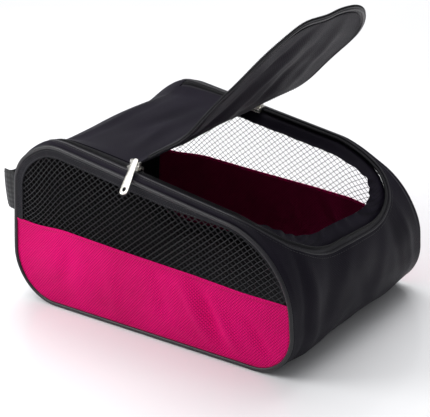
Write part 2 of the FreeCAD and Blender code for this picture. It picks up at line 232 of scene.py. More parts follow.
def rim_points(count):
    """Zip line from the heel seam, near side, round the toe to the far side, with its plan normal."""
    flat, bend = ZIP_HALF - ZIP_R, ZIP_TOE - ZIP_R
    start = float(np.interp(S_HEEL_SEAM + 6.0, ALONG, PLAN))
    lengths = np.array([bend - start, ZIP_R * math.pi / 2, 2 * flat, ZIP_R * math.pi / 2, bend - start])
    d = np.linspace(0, lengths.sum(), count)
    ends = np.concatenate([[0], np.cumsum(lengths)])
    p, y, np_, ny = (np.zeros(count) for _ in range(4))
    for k in range(5):
        on = (d >= ends[k]) & (d <= ends[k + 1])
        t = d[on] - ends[k]
        if k == 0:
            p[on], y[on], np_[on], ny[on] = start + t, -ZIP_HALF, 0, -1
        elif k == 4:
            p[on], y[on], np_[on], ny[on] = bend - t, ZIP_HALF, 0, 1
        elif k == 2:
            p[on], y[on], np_[on], ny[on] = ZIP_TOE, t - flat, 1, 0
        else:
            a = t / ZIP_R + (0 if k == 1 else math.pi / 2)
            np_[on], ny[on] = np.sin(a), -np.cos(a)
            p[on] = bend + ZIP_R * np_[on]
            y[on] = (-flat if k == 1 else flat) + ZIP_R * ny[on]
    return p, y, np_, ny


RIM = rim_points(420)


def spans(keep):
    """Start and stop of each run of kept points."""
    ends = np.flatnonzero(np.diff(np.concatenate([[0], keep.astype(int), [0]])))
    return list(zip(ends[::2], ends[1::2]))


def rim_at(grow):
    """(s, y) of the line that runs grow outside the zip line, or inside where grow is negative."""
    p, y, pn, yn = RIM
    return s_of_plan(p + grow * pn), y + grow * yn


def half_at(s, grow):
    """Half width of the opening's outline, grown, at s."""
    p = np.interp(s, ALONG, PLAN)
    r, flat, bend = ZIP_R + grow, ZIP_HALF - ZIP_R, ZIP_TOE - ZIP_R
    return flat + np.sqrt(np.clip(r * r - np.clip(p - bend, 0, None) ** 2, 0, None))


# ---- the flap's own shape at rest
FLAP_U = np.linspace(-40, 200, 961)
FLAP_SLOPE = np.radians(np.interp(
    FLAP_U, [-40, -14, -6, 0, 12, 28, 48, 68, 88, 108, 130, 155, 200],
    [-9.6, -9.6, 6, 28, 33, 33, 33.5, 44, 47.5, 45, 43, 49.5, 52]))
KERNEL = np.hanning(41) / np.hanning(41).sum()
FLAP_SLOPE = np.convolve(np.pad(FLAP_SLOPE, 20, mode="edge"), KERNEL, mode="valid")
FLAP_STRETCH = 1 + 0.075 * smooth((FLAP_U - 60) / 60)
START = skin(S_FOLD - FLAP_U[0], 0.0, plain=True)
FLAP_LINE = np.stack([
    START[0] + np.concatenate([[0], np.cumsum(np.cos(FLAP_SLOPE[:-1]) * FLAP_STRETCH[:-1])]) * 0.25,
    START[2] + np.concatenate([[0], np.cumsum(np.sin(FLAP_SLOPE[:-1]) * FLAP_STRETCH[:-1])]) * 0.25], 1)


def flap_relief(u, y):
    """Fullness and soft lengthwise folds of the lid, as it stands open."""
    open_part = smooth((u - 20) / 60.0)
    edge = np.abs(y) / ZIP_HALF
    out = -4.0 * open_part * edge ** 3 - (4.6 * y / ZIP_HALF + 1.2 * edge ** 2) * (u / 190).clip(0, 1)
    out += 0.9 * smooth((u + 4) / 20) * ripple(u, y, 62, 33, 2.4)
    for place, angle, length, width, height in (
            ((70, -46), 12, 62, 8.0, 2.4), ((96, -18), 8, 60, 8.0, -2.4), ((88, 20), -4, 66, 9.0, 2.6),
            ((120, 48), -14, 50, 8.0, -2.2), ((36, -66), 24, 34, 7.0, 2.2), ((142, -34), 30, 34, 7.0, 1.8),
            ((30, 30), 60, 40, 8.0, -1.4)):
        out += crease(u, y, place, angle, length, width, height) * smooth((ZIP_HALF - np.abs(y)) / 16.0)
    return out


def flap(u, y, depth=0.0):
    """Point of the open lid at u along it from the fold and y across."""
    u, y = np.broadcast_arrays(np.asarray(u, float), np.asarray(y, float))
    x = np.interp(u, FLAP_U, FLAP_LINE[:, 0])
    z = np.interp(u, FLAP_U, FLAP_LINE[:, 1])
    a = np.interp(u, FLAP_U, FLAP_SLOPE)
    lift = flap_relief(u, y) - np.asarray(depth, float)
    lean = 11.0 * smooth((u - 10) / 175.0)
    return np.stack([x - np.sin(a) * lift, y + lean, z + np.cos(a) * lift], -1)


def flap_normal(u):
    a = np.interp(np.asarray(u, float), FLAP_U, FLAP_SLOPE)
    return np.stack([-np.sin(a), 0 * a, np.cos(a)], -1)


# ---- mesh building
def quads(idx):
    return np.stack([idx[:-1, :-1], idx[:-1, 1:], idx[1:, 1:], idx[1:, :-1]], -1).reshape(-1, 4)


def in_scene(name, mesh, sharp):
    """The mesh as an object, smooth but for edges sharper than the angle."""
    mesh.polygons.foreach_set("use_smooth", [True] * len(mesh.polygons))
    mesh.set_sharp_from_angle(angle=math.radians(sharp))
    obj = bpy.data.objects.new(name, mesh)
    bpy.context.scene.collection.objects.link(obj)
    return obj


def new_mesh(name, verts, faces, mats, face_mats, flat, sharp=38):
    mesh = bpy.data.meshes.new(name)
    mesh.from_pydata((np.asarray(verts, float) * MM).tolist(), [], [list(map(int, f)) for f in faces])
    for m in mats:
        mesh.materials.append(m)
    if face_mats is not None:
        mesh.polygons.foreach_set("material_index", np.asarray(face_mats, np.int32))
    attribute = mesh.attributes.new("flat", "FLOAT_VECTOR", "POINT")
    attribute.data.foreach_set("vector", (np.asarray(flat, np.float32) * MM).ravel())
    work = bmesh.new()
    work.from_mesh(mesh)
    bmesh.ops.recalc_face_normals(work, faces=work.faces)
    work.to_mesh(mesh)
    work.free()
    return in_scene(name, mesh, sharp)


def shell(name, outer, inner, mats, flat):
    """Closed sheet between two point grids; its inner face takes the second material."""
    n, m = outer.shape[:2]
    idx = np.arange(n * m).reshape(n, m)
    low = idx + n * m
    ring = np.concatenate([idx[0, :-1], idx[:-1, -1], idx[-1, :0:-1], idx[:0:-1, 0]])
    ring2 = np.roll(ring, -1)
    border = np.stack([ring, ring2, ring2 + n * m, ring + n * m], -1)
    faces = np.concatenate([quads(idx), quads(low)[:, ::-1], border])
    face_mats = np.zeros(len(faces), int)
    face_mats[len(quads(idx)):2 * len(quads(idx))] = len(mats) - 1
    verts = np.concatenate([outer.reshape(-1, 3), inner.reshape(-1, 3)])
    flat = np.concatenate([flat.reshape(-1, 2)] * 2)
    flat = np.concatenate([flat, np.zeros((len(flat), 1))], 1)
    return new_mesh(name, verts, faces, mats, face_mats, flat)


def sweep(path, side, up, profile):
    """Grid of points: a closed profile (across, up) carried along a path."""
    return (path[:, None] + profile[None, :, 0, None] * side[:, None]
            + profile[None, :, 1, None] * up[:, None])


def rod(name, grids, mats, flat_scale=1.0):
    """Swept solid, or several: each grid is (along, round, 3); ends are capped unless it is a loop."""
    verts, faces, flats, base = [], [], [], 0
    for grid, loop in grids:
        n, m = grid.shape[:2]
        idx = np.arange(n * m).reshape(n, m) + base
        wrap = np.concatenate([idx, idx[:, :1]], 1)
        if loop:
            wrap = np.concatenate([wrap, wrap[:1]], 0)
        faces += quads(wrap).tolist()
        if not loop:
            faces += [idx[0, ::-1].tolist(), idx[-1].tolist()]
        step = np.linalg.norm(np.diff(grid.mean(1), axis=0), axis=1)
        run = np.concatenate([[0], np.cumsum(step)])
        around = np.arange(m) / m * 2 * math.pi * flat_scale
        flats.append(np.stack([np.broadcast_to(run[:, None], (n, m)),
                               np.broadcast_to(around[None], (n, m)), np.zeros((n, m))], -1).reshape(-1, 3))
        verts.append(grid.reshape(-1, 3))
        base += n * m
    return new_mesh(name, np.concatenate(verts), faces, mats, None, np.concatenate(flats))


def circle(r, sides=12, squash=1.0):
    """Round profile, or an oval one."""
    a = np.linspace(0, 2 * math.pi, sides, endpoint=False)
    return np.stack([r * np.cos(a), squash * r * np.sin(a)], 1)


def slab(width, thick, bow=0.0, columns=9):
    """Flat strap profile with softly rounded edges."""
    x = np.linspace(-width / 2, width / 2, columns)
    t = thick / 2 * (1 - 0.55 * np.abs(2 * x / width) ** 6)
    mid = bow * (1 - (2 * x / width) ** 2)
    return np.concatenate([np.stack([x, mid + t], 1), np.stack([x[::-1], (mid - t)[::-1]], 1)])


def directions(path, loop=False):
    if loop:
        t = np.roll(path, -1, 0) - np.roll(path, 1, 0)
    else:
        t = np.gradient(path, axis=0)
    return t / np.linalg.norm(t, axis=1)[:, None]


def resample(path, pitch, extra=()):
    """Points at an even pitch along a path, with any per-point values carried along."""
    run = np.concatenate([[0], np.cumsum(np.linalg.norm(np.diff(path, axis=0), axis=1))])
    at = np.arange(pitch / 2, run[-1], pitch)
    pick = [np.stack([np.interp(at, run, v[:, k]) for k in range(v.shape[1])], 1) for v in (path, *extra)]
    return pick


def scatter(name, groups, unit, faces, mats):
    """Copies of a small unit (verts in its own along, across, up frame) at each place of each group."""
    unit = np.asarray(unit, float)
    verts, all_faces, base = [], [], 0
    for place, along, up in groups:
        up = up / np.linalg.norm(up, axis=1)[:, None]
        across = np.cross(up, along)
        across /= np.linalg.norm(across, axis=1)[:, None]
        along = np.cross(across, up)
        v = (place[:, None] + unit[None, :, 0, None] * along[:, None]
             + unit[None, :, 1, None] * across[:, None] + unit[None, :, 2, None] * up[:, None])
        for k in range(len(place)):
            all_faces += [[base + k * len(unit) + i for i in f] for f in faces]
        verts.append(v.reshape(-1, 3))
        base += v.shape[0] * v.shape[1]
    verts = np.concatenate(verts)
    return new_mesh(name, verts, all_faces, mats, None, verts, sharp=60)


STITCH = [(-1.1, 0, 0), (-0.6, -0.26, 0.05), (-0.6, 0.26, 0.05), (-0.6, 0, 0.34),
          (0.6, -0.26, 0.05), (0.6, 0.26, 0.05), (0.6, 0, 0.34), (1.1, 0, 0)]
STITCH_FACES = [(0, 1, 3), (0, 3, 2), (0, 2, 1), (1, 4, 6, 3), (3, 6, 5, 2), (2, 5, 4, 1),
                (7, 6, 4), (7, 5, 6), (7, 4, 5)]


def tooth_unit():
    """One turn of the zip's coil: a rounded loop with a head that reaches across."""
    ring = [(-0.42, 0.0), (-0.3, 0.42), (0.3, 0.42), (0.42, 0.0), (0.3, -0.42), (-0.3, -0.42)]
    verts, faces = [], []
    for k, (across, size) in enumerate(((-1.25, 0.6), (-0.9, 1.0), (0.8, 1.0), (1.15, 1.25), (1.4, 0.7))):
        verts += [(a * size, across, 0.25 + c * size) for a, c in ring]
        if k:
            low = 6 * (k - 1)
            faces += [(low + i, low + (i + 1) % 6, low + 6 + (i + 1) % 6, low + 6 + i) for i in range(6)]
    faces += [tuple(range(5, -1, -1)), tuple(range(24, 30))]
    return verts, faces


TOOTH, TOOTH_FACES = tooth_unit()
TOOTH_PITCH, TOOTH_REACH = 1.55, 1.35
RIM_STEP = 1.55                           # cloth length between two points of the zip line


# ---- materials
class Maker:
    """Builds one node material. In node(), _name sets a property and i0 the first input."""

    def __init__(self, name):
        self.mat = bpy.data.materials.new(name)
        self.mat.use_nodes = True
        self.tree = self.mat.node_tree
        self.shader = self.tree.nodes["Principled BSDF"]

    def node(self, kind, **values):
        node = self.tree.nodes.new(kind)
        for key, value in values.items():
            if key[0] == "_":
                setattr(node, key[1:], value)
                continue
            socket = node.inputs[int(key[1:]) if key[1:].isdigit() else key]
            if isinstance(value, bpy.types.NodeSocket):
                self.tree.links.new(value, socket)
            else:
                socket.default_value = value
        return node

    def math(self, operation, *values):
        return self.node("ShaderNodeMath", _operation=operation,
                         **{"i%d" % k: value for k, value in enumerate(values)}).outputs[0]

    def flat(self):
        """Place on the flat cut, in metres."""
        return self.node("ShaderNodeAttribute", _attribute_name="flat").outputs["Vector"]

    def place(self):
        return self.node("ShaderNodeTexCoord").outputs["Object"]

    def parts(self, vector):
        return tuple(self.node("ShaderNodeSeparateXYZ", i0=vector).outputs)

    def noise(self, vector, scale, detail=2.0):
        return self.node("ShaderNodeTexNoise", Vector=vector, Scale=scale, Detail=detail).outputs["Fac"]

    def wave(self, value, pitch, phase=0.0):
        """0 to 1 along value, once each pitch (metres)."""
        turned = self.math("MULTIPLY_ADD", value, 2 * math.pi / pitch, phase)
        return self.math("MULTIPLY_ADD", self.math("SINE", turned), 0.5, 0.5)

    def ramp(self, value, stops):
        node = self.node("ShaderNodeValToRGB", Fac=value)
        while len(node.color_ramp.elements) < len(stops):
            node.color_ramp.elements.new(0.5)
        for element, (at, colour) in zip(node.color_ramp.elements, stops):
            element.position, element.color = at, (*colour, 1)
        return node.outputs[0]

    def finish(self, colour, rough, height=None, depth=0.0004, strength=0.6, **inputs):
        self.tree.links.new(colour, self.shader.inputs["Base Color"])
        if isinstance(rough, bpy.types.NodeSocket):
            self.tree.links.new(rough, self.shader.inputs["Roughness"])
        else:
            self.shader.inputs["Roughness"].default_value = rough
        for key, value in inputs.items():
            self.shader.inputs[key.replace("_", " ")].default_value = value
        if height is not None:
            bump = self.node("ShaderNodeBump", Height=height, Strength=strength, Distance=depth)
            self.tree.links.new(bump.outputs[0], self.shader.inputs["Normal"])
        return self.mat


def woven(name, dark, light, pitch, rough, depth, sheen=0.25, tint=(0.5, 0.5, 0.6), blotch=26.0, **more):
    """Plain woven cloth: over and under threads in both directions, slow colour variation and sheen."""
    m = Maker(name)
    a, b, _ = m.parts(m.flat())
    warp, weft = m.wave(a, pitch), m.wave(b, pitch)
    half_a, half_b = m.wave(a, 2 * pitch, 0.8), m.wave(b, 2 * pitch, 2.1)
    over = m.math("MULTIPLY", m.math("SUBTRACT", half_a, 0.5), m.math("SUBTRACT", half_b, 0.5))
    threads = m.math("MULTIPLY", warp, weft)
    height = m.math("ADD", m.math("MULTIPLY", over, 1.6), m.math("MULTIPLY", threads, 0.8))
    slow = m.noise(m.place(), blotch, 3.0)
    fine = m.noise(m.flat(), 900.0, 2.0)
    mix = m.math("ADD", m.math("MULTIPLY", height, 0.75), m.math("MULTIPLY", slow, 0.55))
    mix = m.math("ADD", mix, m.math("MULTIPLY", fine, 0.18))
    colour = m.ramp(mix, [(0.16, dark), (0.86, light)])
    roughness = m.math("ADD", m.math("MULTIPLY", slow, 0.16), rough - 0.08)
    m.shader.inputs["Sheen Tint"].default_value = (*tint, 1)
    return m.finish(colour, roughness, height, depth, 0.7, Sheen_Weight=sheen, Sheen_Roughness=0.45, **more)


BLACK = woven("black_cloth", (0.0026, 0.0018, 0.0044), (0.0090, 0.0066, 0.0142), 0.0012, 0.52, 0.00022,
              sheen=0.02, Specular_IOR_Level=0.13)
LINING = woven("lining_cloth", (0.0055, 0.0045, 0.0070), (0.018, 0.0145, 0.022), 0.0013, 0.6, 0.0002,
               sheen=0.03, Specular_IOR_Level=0.16)
INSIDE = woven("gusset_inside", (0.003, 0.0025, 0.004), (0.010, 0.009, 0.012), 0.0012, 0.65, 0.0002, sheen=0.03,
               Specular_IOR_Level=0.2)
PINK = woven("pink_cloth", (0.38, 0.0006, 0.060), (1.0, 0.0040, 0.235), 0.0015, 0.66, 0.0012, sheen=0.0,
             tint=(1.0, 0.3, 0.6), blotch=14.0, Specular_IOR_Level=0.07)
# Darker copy of the pink cloth for the side panels' inner face: painted shade inside the bag.
PINK_INSIDE_SHADE = woven("pink_inside_painted_shade", (0.14, 0.001, 0.026), (0.30, 0.003, 0.065), 0.0015, 0.7, 0.0005, sheen=0.02,
               Specular_IOR_Level=0.12)
STRIP = woven("grey_strip", (0.004, 0.004, 0.005), (0.022, 0.021, 0.026), 0.0016, 0.85, 0.0007, sheen=0.10,
              Specular_IOR_Level=0.15)
BINDING = woven("seam_tape", (0.004, 0.004, 0.005), (0.014, 0.014, 0.016), 0.0009, 0.7, 0.0003, sheen=0.05,
                Specular_IOR_Level=0.2)
PIPING = woven("piping_cord", (0.0035, 0.0032, 0.0045), (0.013, 0.0115, 0.017), 0.0010, 0.34, 0.0002,
               sheen=0.02, Specular_IOR_Level=0.42)


def ribbed(name, dark, light, pitch, rough, depth, along=0, twill=0.0):
    """Tape or webbing: ribs across it, with a slight slant where it is twilled."""
    m = Maker(name)
    a, b, _ = m.parts(m.flat())
    lead, cross = (a, b) if along == 0 else (b, a)
    slant = m.math("ADD", lead, m.math("MULTIPLY", cross, twill))
    rib = m.wave(slant, pitch)
    cords = m.wave(cross, pitch * 2.2, 1.0)
    height = m.math("ADD", m.math("MULTIPLY", rib, 0.7), m.math("MULTIPLY", cords, 0.35))
    slow = m.noise(m.place(), 40.0, 3.0)
    mix = m.math("ADD", m.math("MULTIPLY", height, 0.6), m.math("MULTIPLY", slow, 0.5))
    colour = m.ramp(mix, [(0.2, dark), (0.9, light)])
    return m.finish(colour, rough, height, depth, 0.8, Sheen_Weight=0.04, Specular_IOR_Level=0.35)


TAPE = ribbed("zip_tape", (0.005, 0.0045, 0.0065), (0.018, 0.016, 0.023), 0.0014, 0.45, 0.00025, twill=0.8)
WEB = ribbed("webbing", (0.003, 0.003, 0.004), (0.015, 0.015, 0.017), 0.0022, 0.6, 0.0006, along=1)


def plain(name, dark, light, rough, scale, metallic=0.0, depth=0.0001, **inputs):
    """Moulded or metal piece: fine grain, worn patches in colour and roughness."""
    m = Maker(name)
    slow = m.noise(m.place(), scale, 4.0)
    fine = m.noise(m.place(), scale * 18, 2.0)
    mix = m.math("ADD", m.math("MULTIPLY", slow, 0.8), m.math("MULTIPLY", fine, 0.2))
    colour = m.ramp(mix, [(0.3, dark), (0.7, light)])
    roughness = m.math("ADD", m.math("MULTIPLY", mix, 0.2), rough - 0.1)
    return m.finish(colour, roughness, fine, depth, 0.3, Metallic=metallic, **inputs)


COIL = plain("zip_coil", (0.004, 0.004, 0.005), (0.012, 0.012, 0.014), 0.36, 120)
METAL = plain("zip_metal", (0.62, 0.60, 0.55), (0.84, 0.83, 0.78), 0.26, 160, metallic=1.0)
THREAD = plain("thread", (0.007, 0.007, 0.009), (0.024, 0.023, 0.028), 0.5, 400, Sheen_Weight=0.05)
PINK_THREAD = plain("pink_thread", (0.35, 0.001, 0.05), (0.62, 0.004, 0.12), 0.5, 400, Specular_IOR_Level=0.2)
NET = plain("black_net", (0.008, 0.008, 0.010), (0.026, 0.025, 0.029), 0.6, 300, Specular_IOR_Level=0.3)
BOARD = woven("board", (0.004, 0.004, 0.005), (0.012, 0.012, 0.014), 0.0016, 0.75, 0.0003, sheen=0.03)


# ---- placing pieces
def goes(obj, body, nodes=()):
    """obj rides on a body, or keeps its place with its transform baked in when body is (a, b, start, end); the
    tuple's entries are not used.
    """
    if isinstance(body, str):
        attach(obj, body)
    else:
        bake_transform(obj)
    if nodes:
        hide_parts(*nodes)
    return obj


def stitches(name, lines, body, mat=None, pitch=3.1):
    """A row of lockstitches along each line; a line is (points, up vectors)."""
    groups = []
    for path, up in lines:
        at, lift = resample(path, pitch, (up,))
        groups.append((at, directions(at), lift))
    return goes(scatter(name, groups, STITCH, STITCH_FACES, (mat or THREAD,)), body)


# ---- gusset: base, heel, toe, bands and the zipped part of the flap
def gusset_sheet(name, s, y, node):
    obj = shell(name, skin(s, y), skin(s, y, CLOTH), (BLACK, INSIDE), np.stack([s, y], -1))
    goes(obj, "bag", (node,))


def strip(s0, s1, rows, y):
    return np.meshgrid(np.linspace(s0, s1, rows), y, indexing="ij")


def between(a, b, t):
    """Grid of points from line a to line b, at each share t of the way."""
    t = t[None, :, None]
    grid = a[:, None] * (1 - t) + b[:, None] * t
    return grid[..., 0], grid[..., 1]


def across(count, half):
    """Places from side to side, closer together at the edges."""
    t = np.linspace(-1, 1, count)
    return half * np.sign(t) * (1 - (1 - np.abs(t)) ** 1.35)


def make_gusset():
    edge = GUSSET_HALF + TUCK
    gusset_sheet("heel_cloth", *strip(S_HEEL_SEAM, ROUND + S_BASE_HEEL, 150, across(96, edge)), "heel_panel")
    gusset_sheet("base_cloth", *strip(S_BASE_HEEL, S_BASE_TOE, 60, across(40, edge)), "base_panel")
    rear = strip(S_FOLD + 10.0, S_HEEL_SEAM, 60, across(72, ZIP_HALF - TAPE_IN))
    gusset_sheet("rear_top_cloth", *rear, "rear_top_panel")
    for side, sign in (("near", -1), ("far", 1)):
        band = strip(S_TOE_SEAM, S_HEEL_SEAM, 110, sign * np.linspace(ZIP_HALF + TAPE_OUT, edge, 9))
        gusset_sheet(side + "_band_cloth", *band, side + "_top_band")

    rim_s, rim_y = rim_at(TAPE_OUT)
    ahead, count = rim_s < S_TOE_SEAM, 261
    ends = (S_TOE_SEAM, -(ZIP_HALF + TAPE_OUT)), (S_TOE_SEAM, ZIP_HALF + TAPE_OUT)
    inner = np.stack([rim_s[ahead], rim_y[ahead], 0 * rim_y[ahead]], 1)
    inner[0, :2], inner[-1, :2] = ends
    inner, = resample(inner, 1.0)
    run = np.linspace(0, len(inner) - 1, count)
    inner = np.stack([np.interp(run, np.arange(len(inner)), inner[:, k]) for k in (0, 1)], 1)
    inner[0], inner[-1] = ends
    outer = np.array([(S_TOE_SEAM, -edge), (S_BASE_TOE, -edge), (S_BASE_TOE, edge), (S_TOE_SEAM, edge)])
    share = np.linspace(0, 1, count)
    outer = np.stack([np.interp(share, [0, 0.40, 0.60, 1], outer[:, k]) for k in (0, 1)], 1)
    gusset_sheet("toe_cloth", *between(inner, outer, np.linspace(0, 1, 76)), "toe_panel")

    ring_s, ring_y = rim_at(6.0)
    ring, up = skin(ring_s, ring_y, 0.9), skin_normal(ring_s)
    grid = sweep(ring, np.cross(directions(ring), up), up, circle(1.35))
    goes(rod("opening_hem", [(grid, False)], (PIPING,)), "bag")

    ring_s, ring_y = rim_at(8.8)
    ahead = ring_s < S_TOE_SEAM - 1
    along, wide = np.linspace(S_TOE_SEAM + 2, S_HEEL_SEAM - 2, 160), np.linspace(-100, 100, 90)
    rows = [(along, -(ZIP_HALF + 8.4)), (along, ZIP_HALF + 8.4), (ring_s[ahead], ring_y[ahead])]
    rows += [(np.full(90, S_HEEL_SEAM + offset), wide) for offset in (1.6, 4.4)]
    stitches("gusset_stitching", [(skin(s, y, -STITCH_LIFT), skin_normal(s)) for s, y in rows], "bag")


def rim_ribbon(name, grows, depth, keep, mapping=skin, to_u=False):
    """Zip tape beside the zip line, over the part of it that keep says; one shell for each run."""
    parts = []
    for start, stop in spans(keep):
        grid_s, grid_y = np.stack([rim_at(g) for g in grows], 2)[:, start:stop]
        along = S_FOLD - grid_s if to_u else grid_s
        flat = np.stack([np.broadcast_to(np.arange(stop - start)[:, None] * RIM_STEP, grid_s.shape),
                         np.broadcast_to(np.asarray(grows)[None], grid_s.shape)], -1)
        outer, inner = mapping(along, grid_y, depth), mapping(along, grid_y, depth + 0.6)
        parts.append(shell(name, outer, inner, (TAPE,), flat))
    return joined(name, parts)


def joined(name, parts):
    if len(parts) > 1:
        bpy.ops.object.select_all(action="DESELECT")
        for part in parts:
            part.select_set(True)
        bpy.context.view_layer.objects.active = parts[0]
        bpy.ops.object.join()
    parts[0].name = name
    return parts[0]


def rim_teeth(name, grow, keep, flip, mapping=skin, normal=skin_normal, to_u=False):
    """Zip teeth along the zip line; flip is the side that they reach to."""
    groups = []
    rim_s, rim_y = rim_at(grow)
    for start, stop in spans(keep):
        s, y = rim_s[start:stop], rim_y[start:stop]
        along = S_FOLD - s if to_u else s
        path, up = mapping(along, y, 0.45), normal(along)
        at, lift = resample(path, TOOTH_PITCH, (up,))
        groups.append((at, directions(at) * flip, lift))
    return scatter(name, groups, TOOTH, TOOTH_FACES, (COIL,))


RIM_S = rim_at(0.0)[0]
EVERYWHERE = np.ones(len(RIM_S), bool)
BEHIND_FOLD = RIM_S > S_FOLD + 3.0
SHORT_OF_SEAM = RIM_S < S_HEEL_SEAM - 0.6


def make_zip():
    grows = (1.0, 2.2, 4.0, 6.2, 9.0)
    tape = rim_ribbon("opening_tape", grows, 1.2, EVERYWHERE)
    goes(tape, "bag", ("opening_zip_tape",))
    goes(rim_teeth("opening_teeth", TOOTH_REACH, SHORT_OF_SEAM, 1), "bag", ("opening_zip_coil",))
    rear = rim_ribbon("rear_tapes", [-g for g in reversed(grows)], 1.2, BEHIND_FOLD)
    goes(rear, "bag", ("rear_zip_tape_near", "rear_zip_tape_far"))
    teeth = rim_teeth("rear_teeth", -TOOTH_REACH, BEHIND_FOLD & SHORT_OF_SEAM, -1)
    goes(teeth, "bag", ("rear_zip_coil_near", "rear_zip_coil_far"))


def make_facing():
    """Wrinkled cloth facing sewn under the rim: it hangs into the opening and backs the closed zip."""
    grows = np.linspace(3.5, -12.0, 18)
    s, y = np.stack([rim_at(g) for g in grows], 2)
    inward = smooth(-grows / 12.0)[None]
    at_toe = smooth((S_TOE_SEAM + 14 - s) / 50.0)
    run = np.arange(len(s))[:, None] * RIM_STEP
    gather = np.sin(run / 3.1 + 1.3 * np.sin(run / 13.0) + grows[None] * 0.12) + 0.7 * np.sin(run / 7.9 + 1.0)
    depth = 4.2 + (6.4 - 3.0 * at_toe) * inward
    depth = depth + (0.2 + 0.75 * at_toe) * inward * (gather + 0.6 * ripple(run, grows, 18, 5))
    obj = shell("rim_facing", skin(s, y, depth), skin(s, y, depth + 0.8), (BLACK,),
                np.stack([np.broadcast_to(run, s.shape), y], -1))
    goes(obj, "bag", ("toe_facing",))


# ---- lid
SPLIT_U = 100.0                           # where the cloth is split in two pieces
FOLD_FROM, FOLD_TO = -10.0, 16.0          # the turned cloth at the fold
REAR_BEND, TOE_BEND = (34.0, 82.0), (120.0, 190.0)


def fold_point(u):
    return flap(u, 0.0)


def lid_end(grow):
    return float(S_FOLD - s_of_plan(ZIP_TOE + grow))


def lid_rows(u0, u1, grow, count):
    """Rows of (u, y): the half width follows the opening's outline, closer together at the toe."""
    end = lid_end(grow)
    t = np.linspace(0, 1, count)
    if u1 > end - 1:
        t = np.sin(t * math.pi / 2)
        u1 = end
    u = u0 + (u1 - u0) * t
    v = np.linspace(-1, 1, 81)
    half = half_at(S_FOLD - u, grow)
    return np.broadcast_to(u[:, None], (count, 81)), half[:, None] * v[None]


def make_lid():
    bodies = {
        "fold": ("bag", "lid_rear", fold_point(FOLD_FROM), fold_point(FOLD_TO)),
        "rear": ("lid_rear", "lid_middle", fold_point(REAR_BEND[0]), fold_point(REAR_BEND[1])),
        "toe": ("lid_middle", "lid_toe", fold_point(TOE_BEND[0]), fold_point(TOE_BEND[1])),
    }
    for key, u0, u1, count, nodes in (
            ("fold", FOLD_FROM, FOLD_TO, 22, ()), ("rear", FOLD_TO, SPLIT_U, 52, ("rear",)),
            ("toe", SPLIT_U, math.inf, 84, ("middle", "toe"))):
        u, y = lid_rows(u0, u1, -TAPE_IN, count)
        flat = np.stack([S_FOLD - u, y], -1)
        obj = shell("lid_%s_cloth" % key, flap(u, y), flap(u, y, CLOTH), (BLACK,), flat)
        goes(obj, bodies[key], ["lid_%s_panel" % node for node in nodes] or ["fold_roll"])
        u, y = lid_rows(u0, u1, -6.4, count)
        bulge = 1.9 + 0.5 * ripple(u, y, 30, 8)
        obj = shell("lid_%s_inner_cloth" % key, flap(u, y, bulge), flap(u, y, bulge + 0.6), (LINING,),
                    np.stack([S_FOLD - u, y], -1))
        goes(obj, bodies[key], ["lid_%s_lining" % node for node in nodes])

    rim_u = S_FOLD - RIM_S
    for key, keep, nodes in (("rear", (rim_u > 17.0) & (rim_u <= SPLIT_U + 0.8), ("rear",)),
                             ("toe", rim_u >= SPLIT_U - 0.8, ("middle", "toe"))):
        tape = rim_ribbon("lid_%s_tape" % key, (-12.0, -9.0, -6.0, -4.0, -2.2, -1.0), 1.15, keep, flap, True)
        goes(tape, bodies[key], ["lid_%s_zip_tape" % node for node in nodes])
        teeth = rim_teeth("lid_%s_teeth" % key, -TOOTH_REACH, keep, -1, flap, flap_normal, True)
        goes(teeth, bodies[key], ["lid_%s_zip_coil" % node for node in nodes])
        hems, stitch_lines = [], []
        for start, stop in spans(keep):
            s, y = rim_at(-3.6)
            u, y = S_FOLD - s[start:stop], y[start:stop]
            path, up = flap(u, y, CLOTH), flap_normal(u)
            hems.append((sweep(path, np.cross(directions(path), up), up, circle(1.7)), False))
            s, y = rim_at(-7.6)
            u, y = S_FOLD - s[start:stop], y[start:stop]
            stitch_lines += [(flap(u, y, -STITCH_LIFT), flap_normal(u)), (flap(u, y, 2.75), -flap_normal(u))]
        goes(rod("lid_%s_hem" % key, hems, (PIPING,)), bodies[key])
        stitches("lid_%s_stitching" % key, stitch_lines, bodies[key])


# ---- sides
def seam_z(x):
    return SEAM_HEEL_Z + (SEAM_TOE_Z - SEAM_HEEL_Z) * (x + TOE_X) / (2 * TOE_X)


def side_bulge(x, z, sign):
    """Fullness of a side panel, outwards, with its soft wrinkles."""
    rise = smooth(np.minimum.reduce([(x + 168) / 60, (165 - x) / 60, z / 34, (TOP_Z - TOP_FALL * x - z) / 34]))
    out = 2.6 * rise + 0.7 * rise * ripple(x, z, 70, 12 if sign < 0 else 17, 1.7)
    below = smooth((seam_z(x) - z) / 8.0)
    for place, angle, length, width, height in (
            ((58, 44), -62, 30, 6.5, 3.2), ((76, 42), -64, 30, 7.0, -4.2), ((94, 36), -60, 26, 6.5, 3.4),
            ((20, 50), -74, 28, 8.0, -1.8), ((-40, 40), -82, 30, 9.0, 1.5), ((-96, 44), 80, 30, 9.0, -1.6),
            ((128, 34), -56, 24, 6.5, -3.0), ((40, 18), -20, 44, 6.5, 1.4), ((-120, 26), 24, 30, 6.5, -1.4)):
        out += crease(x, z, place, angle, length, width, height) * (0.25 + 0.75 * below) * smooth(rise * 3)
    out += 0.35 * np.exp(-((z - seam_z(x)) / 2.2) ** 2)
    return out


def side_point(x, z, sign, out=0.0):
    y = sign * (SIDE_Y - 0.2 + side_bulge(x, z, sign) + out)
    return settle(np.stack([x, y, z], -1))


def kept_run(mask, loop):
    """The part of a closed loop that mask keeps, in order."""
    first = int(np.flatnonzero(mask & ~np.roll(mask, 1))[0])
    return np.roll(loop, -first, 0)[:int(mask.sum())]


